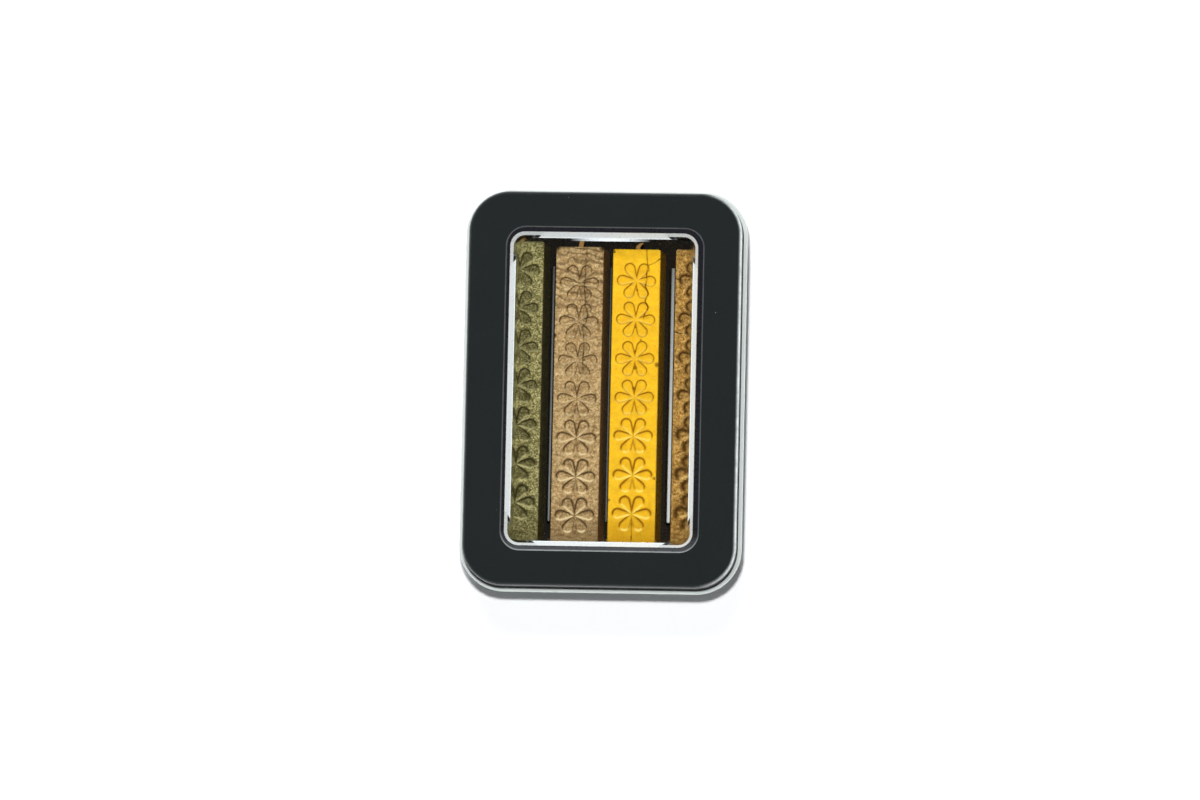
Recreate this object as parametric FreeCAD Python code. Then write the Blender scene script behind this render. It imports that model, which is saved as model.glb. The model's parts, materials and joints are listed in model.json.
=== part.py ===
import FreeCAD, Part
import math
import os

from FreeCAD import Vector

# A slip-lid window tin that holds four sticks of sealing wax, lying flat with its window up.
# X runs across the tin, Y along it and the sticks, Z up; the origin is under its middle, on the table.

# Wax sticks
stick_count = 4
stick_length = 83.1          # at the foot
stick_width = 14.4           # at the foot
stick_height = 12.0
stick_draft = 0.8            # how far each side leans in towards the top
stick_edge_bevel = 0.4
stick_side_play = 0.5        # stick to rib at the foot, each side
stick_end_play = 7.6         # room for a stick to slide along its channel
stick_lie_shares = (0.30, 0.50, -0.90, 0.90)    # where each stick lies in its side play
stick_slide_shares = (0.46, 0.285, 0.222, 0.236)   # how far along its end play each stick lies

# Flowers pressed into the top of each stick
flower_count = 7
flower_end_margin = 10.2     # end of the stick to the middle of the first flower, for a centred row
flower_row_offset = 0.8      # middle of the row from the middle of the stick, towards the wick
petal_count = 6
petal_edge_margin = 2.0      # tip of a petal to the stick's side
petal_end_radius = 1.4
petal_depth = 0.55
hub_radius = 0.7             # flower centre to where a petal starts
petal_facets = 4             # flats round the end of a petal

# Wicks
wick_diameter = 1.5
wick_clearance = 0.05        # wick to its bore, all round
wick_stub = 1.6              # beyond the end of the stick
wick_foot = 6.0              # wax left below the blind end of the bore

# Tray: a formed plastic insert, a deck round one pocket with low ribs between the sticks
tray_sheet = 0.4
tray_clearance = 0.75        # deck edge to the base's folded rim
tray_lie_share = 0.67        # where the tray lies in its clearance, towards +X
tray_height = 9.0            # table to the top of the deck
pocket_corner_cut = 0.4      # flat across each corner of the pocket
pocket_draft = 0.5           # how far each wall leans in towards the floor
rib_end_gap = 10.85          # end of a rib to the end of the pocket
rib_height = 5.5             # above the tray floor
rib_foot_width = 0.6
rib_top_width = 0.45

# Tin: two drawn tinplate shells
side_room = 4.4              # pocket floor to the outside of the base, each side
end_room = 7.05              # the same at each end
stick_headroom = 5.0         # top of a stick to the underside of the pane
corner_radius = 10.4         # base body corners, seen from above
sheet = 0.3                  # tinplate
base_edge_radius = 2.0       # drawn edge between floor and wall
hem_radius = 0.45            # folded-in rim of the base
hem_leg = 1.6                # how far the fold runs down inside the wall
slip_clearance = 0.25        # lid skirt to base wall, each side
lid_seat_clearance = 0.1     # base rim to lid underside
lid_depth = 8.0              # lid face to the underside of its bead
lid_edge_radius = 1.0        # drawn edge between face and skirt
bead_diameter = 1.5          # edge of the skirt, curled outward
bead_gap = 0.1               # end of the curl to the skirt
edge_facets = 3              # flats that stand for each quarter-round of sheet
hem_facets = 4               # flats round the folded rim
bead_facets = 8              # flats round the curl

# Window: a clear dished pane stuck under the lid
frame_side = 10.4            # window to the outside of the lid, each side
frame_end = 9.75             # the same at each end
window_radius = 5.0
tape_thickness = 0.1
tape_setback = 0.8           # tape back from the window's edge
pane_sheet = 0.3
pane_flange = 4.0            # flange beyond the window's edge
pane_edge_gap = 0.8          # top of the dish to the window's edge
pane_depth = 2.6             # flange to the floor of the dish
pane_wall_run = 1.6          # how far the wall of the dish leans in
pane_lie = -0.3              # the pane is stuck on a little towards -X

overrun = 1.0                # how far every cut runs past what it cuts

# Sizes that follow from those above
stick_pitch = stick_width + 2 * stick_side_play + rib_foot_width
flower_pitch = (stick_length - 2 * flower_end_margin) / (flower_count - 1)
petal_reach = stick_width / 2 - petal_edge_margin
pocket_width = stick_count * stick_pitch - rib_foot_width
pocket_length = stick_length + stick_end_play
rib_length = pocket_length - 2 * rib_end_gap
tray_floor_top = sheet + tray_sheet
tray_shift = tray_lie_share * tray_clearance
deck_inset = 2 * hem_radius + tray_clearance
tin_width = pocket_width + 2 * side_room
tin_length = pocket_length + 2 * end_room
skirt_offset = slip_clearance + sheet
skirt_width = tin_width + 2 * skirt_offset
skirt_length = tin_length + 2 * skirt_offset
skirt_corner = corner_radius + skirt_offset
bead_radius = bead_diameter / 2
window_width = skirt_width - 2 * frame_side
window_length = skirt_length - 2 * frame_end
pane_floor_top = tray_floor_top + stick_height + stick_headroom + pane_sheet
pane_top = pane_floor_top + pane_depth
lid_underside = pane_top + tape_thickness
tin_height = lid_underside + sheet


def save(shape, name):
    shape.exportStep("parts/" + name + ".step")


def rounded_outline(width, length, radius, z):
    """Closed wire of a rounded rectangle round the Z axis."""
    edges = []
    for quarter in range(4):
        across, along = (width, length) if quarter % 2 == 0 else (length, width)
        x, y = across / 2, along / 2
        side = Part.makeLine(Vector(x, radius - y, z), Vector(x, y - radius, z))
        middle = radius * (1 - math.sqrt(0.5))
        bend = Part.Arc(
            Vector(x, y - radius, z), Vector(x - middle, y - middle, z), Vector(x - radius, y, z)
        ).toShape()
        for edge in (side, bend):
            edge.rotate(Vector(), Vector(0, 0, 1), 90 * quarter)
            edges.append(edge)
    return Part.Wire(edges)


def box_outline(width, length, z, cut=0):
    """Closed wire of a rectangle round the Z axis, its corners plain or cut off."""
    corners = []
    for side_x, side_y in ((1, 1), (-1, 1), (-1, -1), (1, -1)):
        x, y = side_x * width / 2, side_y * length / 2
        ends = [Vector(x, y - side_y * cut, z), Vector(x - side_x * cut, y, z)]
        if side_x != side_y:
            ends.reverse()
        corners += ends if cut else ends[:1]
    return Part.makePolygon(corners + corners[:1])


def slab(width, length, radius, bottom, top):
    """Upright rounded block."""
    return Part.Face(rounded_outline(width, length, radius, bottom)).extrude(Vector(0, 0, top - bottom))


def tapered_slab(low, high, bottom, top):
    """Rounded block between two sizes, each given as width, length and corner radius."""
    return Part.makeLoft([rounded_outline(*low, bottom), rounded_outline(*high, top)], True, True)


def bend(centre, radius, start, end, facets):
    """Points of a round stretch of a section, between two angles about its centre."""
    points = []
    for step in range(facets + 1):
        turn = math.radians(start + (end - start) * step / facets)
        points.append(centre + Vector(radius * math.cos(turn), 0, radius * math.sin(turn)))
    return points


def polygon_face(points):
    return Part.Face(Part.makePolygon(points + points[:1]))


def run_round(section, width, length, radius):
    """Carry a section, drawn outward from x = 0, round a rounded rectangle."""
    pieces = []
    for quarter in range(4):
        across, along = (width, length) if quarter % 2 == 0 else (length, width)
        side = section.copy()
        side.translate(Vector(across / 2, radius - along / 2, 0))
        straight = side.extrude(Vector(0, along - 2 * radius, 0))
        side.translate(Vector(0, along - 2 * radius, 0))
        centre = Vector(across / 2 - radius, along / 2 - radius, 0)
        bend = side.revolve(centre, Vector(0, 0, 1), 90)
        for piece in (straight, bend):
            piece.rotate(Vector(), Vector(0, 0, 1), 90 * quarter)
            pieces.append(piece)
    return pieces[0].multiFuse(pieces[1:])


def tin_base():
    """Drawn shell with a rounded bottom edge and a rim folded inward."""
    edge_centre = Vector(-base_edge_radius, 0, base_edge_radius)
    rim_top = lid_underside - lid_seat_clearance
    hem_centre = Vector(-hem_radius, 0, rim_top - hem_radius)
    leg_end = hem_centre.z - hem_leg
    section = bend(edge_centre, base_edge_radius, -90, 0, edge_facets)
    section += bend(hem_centre, hem_radius, 0, 180, hem_facets)
    section += [Vector(-2 * hem_radius, 0, leg_end), Vector(sheet - 2 * hem_radius, 0, leg_end)]
    section += bend(hem_centre, hem_radius - sheet, 180, 0, hem_facets)
    section += bend(edge_centre, base_edge_radius - sheet, 0, -90, edge_facets)
    wall = run_round(polygon_face(section), tin_width, tin_length, corner_radius)
    inset = 2 * base_edge_radius
    floor = slab(tin_width - inset, tin_length - inset, corner_radius - base_edge_radius, 0, sheet)
    return wall.fuse(floor).removeSplitter()


def tin_lid():
    """Drawn cover with a window, whose skirt ends in a bead curled outward."""
    edge_centre = Vector(-lid_edge_radius, 0, tin_height - lid_edge_radius)
    bead_centre = Vector(bead_radius - sheet, 0, tin_height - lid_depth + bead_radius)
    curl_end = 360 + math.degrees(math.acos((bead_gap - bead_centre.x) / bead_radius))
    section = bend(edge_centre, lid_edge_radius, 90, 0, edge_facets)
    section += bend(bead_centre, bead_radius - sheet, 180, curl_end, bead_facets)
    section += bend(bead_centre, bead_radius, curl_end, 180, bead_facets)
    section += bend(edge_centre, lid_edge_radius - sheet, 0, 90, edge_facets)
    skirt = run_round(polygon_face(section), skirt_width, skirt_length, skirt_corner)
    inset = 2 * lid_edge_radius
    face = slab(
        skirt_width - inset, skirt_length - inset, skirt_corner - lid_edge_radius, lid_underside, tin_height
    )
    window = slab(
        window_width, window_length, window_radius, lid_underside - overrun, tin_height + overrun
    )
    return skirt.fuse(face).removeSplitter().cut(window)


def round_window(margin):
    """Width, length and corner radius of the window, grown by a margin all round."""
    return window_width + 2 * margin, window_length + 2 * margin, window_radius + margin


def window_tape():
    """Thin ring of tape between the pane's flange and the lid."""
    ring = slab(*round_window(pane_flange), pane_top, lid_underside)
    ring.translate(Vector(pane_lie, 0, 0))
    return ring.cut(slab(*round_window(tape_setback), pane_top - overrun, lid_underside + overrun))


def window_pane():
    """Clear sheet formed into a shallow dish with leaning walls and a flat flange."""
    mouth = -pane_edge_gap
    foot = mouth - pane_wall_run
    flange = slab(*round_window(pane_flange), pane_top - pane_sheet, pane_top)
    dish = tapered_slab(
        round_window(foot + pane_sheet), round_window(mouth + pane_sheet),
        pane_floor_top - pane_sheet, pane_top,
    )
    hollow = tapered_slab(round_window(foot), round_window(mouth), pane_floor_top, pane_top)
    pane = flange.fuse(dish).cut(hollow)
    pane.translate(Vector(pane_lie, 0, 0))
    return pane


def pocket_block(foot_margin, top_margin, bottom):
    """Block as large as the pocket plus a margin at its foot and at its top, up to the deck."""
    ends = ((foot_margin, bottom), (top_margin, tray_height))
    outlines = []
    for margin, z in ends:
        width, length = pocket_width + 2 * margin, pocket_length + 2 * margin
        outlines.append(box_outline(width, length, z, pocket_corner_cut))
    return Part.makeLoft(outlines, True, True)


def tray_rib():
    """Low tapered rib that parts two sticks, standing on the tray floor."""
    taper = rib_foot_width - rib_top_width
    foot = box_outline(rib_foot_width, rib_length, tray_floor_top)
    crest = box_outline(rib_top_width, rib_length - taper, tray_floor_top + rib_height)
    return Part.makeLoft([foot, crest], True, True)


def stick_tray():
    """Formed insert: a deck, a pocket with leaning walls and a rib between each pair of sticks."""
    deck = slab(
        tin_width - 2 * deck_inset, tin_length - 2 * deck_inset, corner_radius - deck_inset,
        tray_height - tray_sheet, tray_height,
    )
    outside = pocket_block(tray_sheet, pocket_draft + tray_sheet, sheet)
    hollow = pocket_block(0, pocket_draft, tray_floor_top)
    ribs = []
    for gap in range(stick_count - 1):
        rib = tray_rib()
        rib.translate(Vector((gap + 1 - stick_count / 2) * stick_pitch, 0, 0))
        ribs.append(rib)
    tray = deck.fuse(outside).removeSplitter().cut(hollow).multiFuse(ribs)
    tray.translate(Vector(tray_shift, 0, 0))
    return tray


def petal():
    """Teardrop pocket pointing at the flower's centre, its round end outward along X."""
    centre = petal_reach - petal_end_radius
    touch = 180 - math.degrees(math.acos(petal_end_radius / (centre - hub_radius)))
    low = stick_height - petal_depth
    outline = [Vector(hub_radius, 0, low)]
    for step in range(petal_facets + 1):
        turn = math.radians(touch * (2 * step / petal_facets - 1))
        x = centre + petal_end_radius * math.cos(turn)
        outline.append(Vector(x, petal_end_radius * math.sin(turn), low))
    return polygon_face(outline).extrude(Vector(0, 0, petal_depth + overrun))


def flower_row():
    """Pockets of the row of flowers along a stick that stands on z = 0."""
    pockets = []
    for flower in range(flower_count):
        y = (flower - (flower_count - 1) / 2) * flower_pitch + flower_row_offset
        for turn in range(petal_count):
            pocket = petal()
            pocket.rotate(Vector(), Vector(0, 0, 1), turn * 360 / petal_count)
            pocket.translate(Vector(0, y, 0))
            pockets.append(pocket)
    return Part.makeCompound(pockets)


def bore_start():
    """Blind end of the wick's bore along a stick."""
    return wick_foot - stick_length / 2


def wax_stick():
    """Cast stick with leaning sides, soft edges, pressed flowers and a bore for its wick."""
    lean = 2 * stick_draft
    body = Part.makeLoft([
        box_outline(stick_width, stick_length, 0),
        box_outline(stick_width - lean, stick_length - lean, stick_height),
    ], True, True)
    above_foot = [edge for edge in body.Edges if edge.BoundBox.ZMax > stick_height / 2]
    body = body.makeChamfer(stick_edge_bevel, above_foot)
    bore = Part.makeCylinder(
        wick_diameter / 2 + wick_clearance, stick_length,
        Vector(0, bore_start(), stick_height / 2), Vector(0, 1, 0),
    )
    return body.cut(flower_row()).cut(bore)


def wick():
    """Cord from the blind end of its bore to a short stub past the end of the stick."""
    length = stick_length / 2 + wick_stub - bore_start()
    return Part.makeCylinder(
        wick_diameter / 2, length, Vector(0, bore_start(), stick_height / 2), Vector(0, 1, 0)
    )


def place_sticks():
    """Set each stick and its wick down in its channel."""
    stick, cord = wax_stick(), wick()
    for index, (lie_share, slide_share) in enumerate(zip(stick_lie_shares, stick_slide_shares)):
        channel = (index - (stick_count - 1) / 2) * stick_pitch
        x = tray_shift + channel + lie_share * stick_side_play
        y = (slide_share - 1 / 2) * stick_end_play
        place = Vector(x, y, tray_floor_top)
        for shape, name in ((stick, "wax_stick"), (cord, "wick")):
            placed = shape.copy()
            placed.translate(place)
            save(placed, name + "_" + str(index + 1))


os.makedirs("parts", exist_ok=True)
save(tin_base(), "tin_base")
save(tin_lid(), "tin_lid")
save(window_tape(), "window_tape")
save(window_pane(), "window_pane")
save(stick_tray(), "stick_tray")
place_sticks()
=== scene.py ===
import json
import math

import bmesh
import bpy
import numpy as np
from mathutils import Matrix, Vector, noise


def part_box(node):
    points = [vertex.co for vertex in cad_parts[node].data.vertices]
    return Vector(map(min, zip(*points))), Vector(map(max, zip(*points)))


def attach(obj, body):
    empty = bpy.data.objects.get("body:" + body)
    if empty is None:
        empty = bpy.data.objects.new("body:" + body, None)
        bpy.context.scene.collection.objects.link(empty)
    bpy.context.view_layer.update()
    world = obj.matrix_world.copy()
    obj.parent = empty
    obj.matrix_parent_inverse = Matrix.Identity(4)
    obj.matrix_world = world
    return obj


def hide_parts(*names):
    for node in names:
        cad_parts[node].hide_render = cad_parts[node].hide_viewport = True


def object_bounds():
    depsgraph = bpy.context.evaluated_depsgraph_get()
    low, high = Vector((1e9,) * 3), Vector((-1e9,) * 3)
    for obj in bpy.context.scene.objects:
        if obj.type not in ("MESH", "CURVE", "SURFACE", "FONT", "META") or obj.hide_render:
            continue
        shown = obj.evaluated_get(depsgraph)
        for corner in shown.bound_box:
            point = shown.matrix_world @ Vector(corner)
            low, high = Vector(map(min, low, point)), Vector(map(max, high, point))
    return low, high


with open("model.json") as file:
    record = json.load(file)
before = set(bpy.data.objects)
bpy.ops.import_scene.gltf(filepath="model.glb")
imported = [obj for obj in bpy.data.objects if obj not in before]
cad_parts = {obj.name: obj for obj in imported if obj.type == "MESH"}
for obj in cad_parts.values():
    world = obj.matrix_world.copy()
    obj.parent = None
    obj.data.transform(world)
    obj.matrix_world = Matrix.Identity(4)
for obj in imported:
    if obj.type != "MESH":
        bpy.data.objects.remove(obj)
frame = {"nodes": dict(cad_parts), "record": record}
cad_low, cad_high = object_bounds()

noise.seed_set(7)  # flowers are the same in every run

mm = 0.001

# Tin, as the solids have it
sheet = 0.3 * mm
base_edge_radius = 2.0 * mm
hem_radius = 0.45 * mm
hem_leg = 1.6 * mm
lid_edge_radius = 1.0 * mm
bead_radius = 0.75 * mm
bead_curl = 295.0  # degrees
base_corner = 10.4 * mm
skirt_corner = 10.95 * mm
window_width = 52.5 * mm
window_length = 86.4 * mm
window_radius = 5.0 * mm
window_bevel = 0.29 * mm  # rounded edge round the window

# Painted highlights along the edges of the lid and its window
highlight_middle_share = 0.42  # of the way down the lid's edge radius
highlight_half_share = 0.42
highlight_gain = 1.6
highlight_from = 26 * mm
highlight_run = 9 * mm
highlight_least = 0.04
window_edge_highlight_low = 0.34  # along the window's lower side
window_edge_highlight_else = 0.08

# Clear pane
pane_sheet = 0.3 * mm
pane_mouth_gap = 0.8 * mm  # window's edge to the top of the dish
pane_wall_run = 1.6 * mm
pane_lip_radius = 0.35 * mm
pane_foot_radius = 0.5 * mm

# Painted reflections on the wall of the dish, white and dark; a share is of the way down the wall
wall_rows = 12
wall_stations = [0.3 * mm * step for step in range(1, 26)]  # past each corner
wall_stations += [(7.5 + 1.5 * step) * mm for step in range(1, 9)]
rim_run = 0.3 * mm  # painted dark reflection of the lid at the bend runs this far under the lid
rim_share = 0.13  # and this far down the wall
rim_flat_share = rim_share / 3
rim_light = 0.06  # painted: its flat part is a little less dark along the lower side
strip_slant = (5.8 * mm, 3.2 * mm)  # where a strip of painted white reflection starts, at the mouth and at the foot
wedge_run = 1.5 * mm  # painted dark reflection: a wedge between a strip and the band round a corner
# painted white reflection in the band round each corner, down to this share, and how white it is
corner_band_share = 0.6
corner_reflection = 0.8
glare_run = 0.5 * mm  # floor beside the wall that can mirror it, painted with a white reflection of the wall
glare_share = 0.88
glare_middle = 1.5 * mm
glare_half = 10.5 * mm
glare_white = 0.85

# Tray
tray_sheet = 0.4 * mm
pocket_width = 63.4 * mm
pocket_length = 90.7 * mm
pocket_corner = 0.8 * mm
pocket_draft = 0.5 * mm
pocket_lip_radius = 0.6 * mm
deck_corner = 8.75 * mm
stick_pitch = 16.0 * mm
rib_length = 69.0 * mm
rib_height = 5.5 * mm
rib_foot_width = 0.6 * mm
rib_crest_widths = (0.55 * mm, 0.45 * mm, 0.9 * mm)
rib_corner_share = 0.98  # of half its width: the round ends of a rib
rib_stations = 12
crest_steps = 5
crest_turn = 80  # degrees, on each side
crest_leans = (0.9 * mm, 0.35 * mm, 1.15 * mm)  # the thin ribs lean a little
crest_highlights = (0.28, 0.16, 0.9)  # painted highlight along each crest
crest_least = 0.3  # share of that at a rib's upper end
crest_white_share = 0.6

# Wax sticks
stick_edge_radius = 0.45 * mm
stick_corner = 0.6 * mm
stick_draft = 0.8 * mm
stick_grain = 0.14 * mm  # spacing of the grid on a stick's top
stick_bend_steps = 5
stick_wall_steps = 14
stick_wall_hollow = 0.04 * mm
stick_wall_grain = 1.5 * mm
swells = ((0.05 * mm, 5 * mm, 0.0), (0.02 * mm, 0.9 * mm, 0.5))  # depth, length and seed
swell_drop = 0.05 * mm

# Flowers pressed into the sticks
flower_count = 7
flower_pitch = 10.45 * mm
flower_jitter = 0.12 * mm
flower_turn = 0.05  # radians
flower_seed = 3.7  # steps in the noise that shifts flowers
stick_seed = 5.3
row_seed = 0.5
flower_shifts = (1.64 * mm, -0.34 * mm, 0.82 * mm, 1.24 * mm)  # of each stick's row
petal_count = 6
petal_reach = 5.2 * mm
petal_end_radius = 1.42 * mm
petal_hub_radius = 0.35 * mm
petal_depth = 0.48 * mm
petal_wall = 0.16 * mm  # how far a petal's wall leans
petal_wall_share = 0.55  # of its depth; the rest is its hollow floor
petal_bowl = 0.9 * mm  # from its outline to where a petal's hollow floor is level

# Painted shade and painted highlights of each stick, with its stains and wavy lines
side_shade = 0.4  # painted shade: a stick's sides are darker than its top
end_shadow = 0.55  # painted shadow: it darkens towards its cut lower end
end_shadow_run = 13.0 * mm
end_shadow_stop = 0.5 * mm
groove_widths = (0.32 * mm, 0.19 * mm, 0.18 * mm, 0.48 * mm)  # painted shade: dark lines along petals
groove_growth = 0.8  # lines are this much wider at the lower end
groove_ways = ((0, 1), (0, 1), (0, 1), (-0.7, 0.7))  # side of a petal where the painted shade lines are darkest
groove_turn = (-0.75, 0.2)  # slopes between which the other sides' lines fade out
groove_fade = (-22 * mm, 8 * mm)  # and those fade in along the stick from here to here
lower_grooves = (0.35, 0.45, 0.75, 0.2)  # how dark those are
petal_shades = (0.60, 0.10, 0.08, 0.28)  # painted shade: how dark a petal's floor is
petal_stains = (0.0, 0.42, 0.12, 0.0)  # how dark it is beside a crack
petal_highlights = (0.45, 0.85, 0.80, 0.75)  # painted highlight: how light its lower wall is
lit_inset = 0.26 * mm  # the painted highlight line runs this far inside that wall
lit_width = 0.30 * mm
lit_turn = (0.2, 0.9)
lit_fade = 0.7
stain_start = 0.3 * mm
stain_run = 2.4 * mm  # from a crack to where its stain has faded
wave_fade = (9.0 * mm, 30.0 * mm)  # from a stick's upper end, where its wavy lines fade
wave_least = 0.25

# Cracks and pits
crack_width = 0.13 * mm
crack_depth = 0.15 * mm
crack_grain = 1.3 * mm  # a crack is fainter and stronger in turns of about this length
crack_mean = 0.65
crack_swing = 0.9
crack_least = 0.45
crack_seed = 0.3
pit_tint = 0.8
pit_rim = 1.2  # a pit's tint reaches this far, in its radii
# Points of each stick's cracks, in millimetres from the middle of its flowers
stick_cracks = [
    [],
    [
        [(1.8, 41.5), (1.9, 38.3), (1.6, 36.6), (1.55, 32.4), (1.25, 29.9), (1.8, 26.7), (1.7, 25.4),
         (2.5, 22.5), (1.9, 20.5), (1.1, 19.4), (1.6, 14.5), (1.3, 10.5), (1.5, 7.6)],
        [(6.4, 38.2), (5.6, 37.7), (4.7, 37.6)],
    ],
    [
        [(2.5, 41.5), (2.8, 37.5), (3.0, 35.5), (2.7, 33.2), (2.8, 31.8), (2.4, 30.0), (3.3, 27.9),
         (2.4, 25.9), (3.3, 24.2), (2.2, 22.0), (2.1, 21.2)],
        [(3.0, 35.5), (5.1, 36.4), (6.4, 37.5)],
        [(0.0, -32.7), (0.1, -35.5), (-0.1, -42.0)],
    ],
    [[(-6.4, 31.6), (-4.4, 31.2), (-2.0, 31.5)], [(-6.4, 17.2), (-4.8, 16.8), (-3.0, 17.0)]],
]
# Place, radius and depth of each pit, in the same way
stick_pits = [
    [(5.9, 12.0, 0.5, 0.3)],
    [(-6.2, 40.8, 0.9, 0.9), (6.3, 40.8, 0.8, 0.8), (-6.4, 17.0, 0.6, 0.5), (1.5, 30.3, 0.35, 0.3),
     (1.8, 19.4, 0.3, 0.3), (1.6, 10.6, 0.35, 0.3)],
    [(-6.2, 39.2, 0.5, 0.6), (6.1, 8.75, 0.7, 0.5), (0.2, 28.9, 0.3, 0.3), (1.5, 15.4, 0.3, 0.3),
     (0.1, 7.9, 0.6, 0.4), (-0.05, 2.3, 0.6, 0.4), (0.0, 18.8, 0.3, 0.2), (-1.3, 11.0, 0.25, 0.2),
     (-6.2, -27.8, 0.4, 0.2), (5.9, -21.8, 0.45, 0.3), (-1.9, -26.6, 0.25, 0.2), (2.5, 30.2, 0.35, 0.3),
     (2.3, 22.3, 0.35, 0.3), (2.7, 33.3, 0.3, 0.3), (0.1, 12.3, 0.3, 0.2)],
    [(-6.3, 25.0, 0.4, 0.3), (-5.6, 9.0, 0.35, 0.3)],
]

# Wicks
wick_strands = 3
wick_ring_points = 24
wick_ring_gap = 0.25 * mm
wick_lay = 3.2 * mm  # length of one turn of the strands
wick_swell_share = 0.14
wick_taper_share = 0.6  # of the stub, where its end starts to close
wick_taper_fall = 0.18
wick_taper_least = 0.05
wick_leans = (0.0, 0.1 * mm, 1.2 * mm, 0.2 * mm)

# Stage, in metres
floor_half = 3.0
floor_glow = 0.03
floor_fade = (0.3, 1.5)  # out from the tin, where the table fades into the white surroundings
sky_low = 1.6
sky_high = 0.05
sky_fall = (0.55, 0.92)  # heights on a unit sky between which it dims
lamps = (  # name, place, size and watts
    ("overhead", (0.035, 0.03, 1.0), 0.06, 8.6),
    ("key", (-0.08, 0.58, 0.82), 0.35, 5.0),
    ("fill", (0.0, -0.8, 0.45), 0.4, 1.4),
)
view_right = 3.746  # degrees that the camera stands to the right of straight above
view_below = 5.456  # degrees that it stands towards the tin's lower end
view_roll = 1.232
view_distance = 2.0
view_clip = 20.0
image_size = (1200, 800)
lid_pixel = (602.077, 388.893)  # where the middle of the lid's face appears
pixels_per_metre = 3746.0
sensor_width = 36.0  # millimetres, as the lens is

# How finely round stretches are drawn
corner_sides = ((1, -1), (1, 1), (-1, 1), (-1, -1))
corner_steps = 14
edge_steps = 6
flat_margin = 0.15 * mm  # plain strip beside each round edge, which keeps the flats flat


def new_object(name, data):
    piece = bpy.data.objects.new(name, data)
    bpy.context.scene.collection.objects.link(piece)
    return piece


def mesh_object(name, vertices, faces, bands, materials, sharp=35.0):
    """Smooth-shaded mesh object; bands gives each face's material index."""
    mesh = bpy.data.meshes.new(name)
    mesh.from_pydata(vertices, [], faces)
    for material in materials:
        mesh.materials.append(material)
    mesh.polygons.foreach_set("material_index", bands)
    shell = bmesh.new()
    shell.from_mesh(mesh)
    bmesh.ops.recalc_face_normals(shell, faces=shell.faces)
    shell.to_mesh(mesh)
    shell.free()
    mesh.shade_smooth()
    mesh.set_sharp_from_angle(angle=math.radians(sharp))
    mesh.validate()
    return new_object(name, mesh)


def mark(piece, name, values):
    """A value at each point of a piece, for its material to read."""
    piece.data.attributes.new(name, "FLOAT", "POINT").data.foreach_set("value", values)


def place(piece, body, slot, *nodes):
    """A piece that rides on a body and stands for its nodes."""
    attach(piece, body)
    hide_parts(*nodes)


def clamp(value):
    return min(max(value, 0.0), 1.0)


def ring(width, length, radius, z):
    """Points of a rounded rectangle round the Z axis, as many for every size."""
    points = []
    for quarter, (side_x, side_y) in enumerate(corner_sides):
        x = side_x * (width / 2 - radius)
        y = side_y * (length / 2 - radius)
        for step in range(corner_steps + 1):
            turn = math.radians(90 * (quarter - 1 + step / corner_steps))
            points.append((x + radius * math.cos(turn), y + radius * math.sin(turn), z))
    return points


def grown(width, length, radius, out, z):
    """Ring of a rounded rectangle grown outward all round."""
    return ring(width + 2 * out, length + 2 * out, radius + out, z)


def join_rings(rings, bands=None, closed=False):
    """Quads from each ring to the next; an open row of rings is capped at both ends."""
    count = len(rings[0])
    vertices = [point for points in rings for point in points]
    faces = []
    indices = []
    bands = bands or [0] * len(rings)
    last = len(rings) if closed else len(rings) - 1
    for row in range(last):
        here = row * count
        above = (row + 1) % len(rings) * count
        for station in range(count):
            after = (station + 1) % count
            faces.append((here + station, here + after, above + after, above + station))
            indices.append(bands[row])
    if not closed:
        faces.append(tuple(reversed(range(count))))
        faces.append(tuple(range((len(rings) - 1) * count, len(rings) * count)))
        indices += [bands[0], bands[-1]]
    return vertices, faces, indices


def arc(centre_out, centre_z, radius, start, end, steps=edge_steps):
    """Round stretch of a section: how far out and how high each of its points is."""
    points = []
    for step in range(steps + 1):
        turn = math.radians(start + (end - start) * step / steps)
        points.append((centre_out + radius * math.cos(turn), centre_z + radius * math.sin(turn)))
    return points


# Node materials


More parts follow.
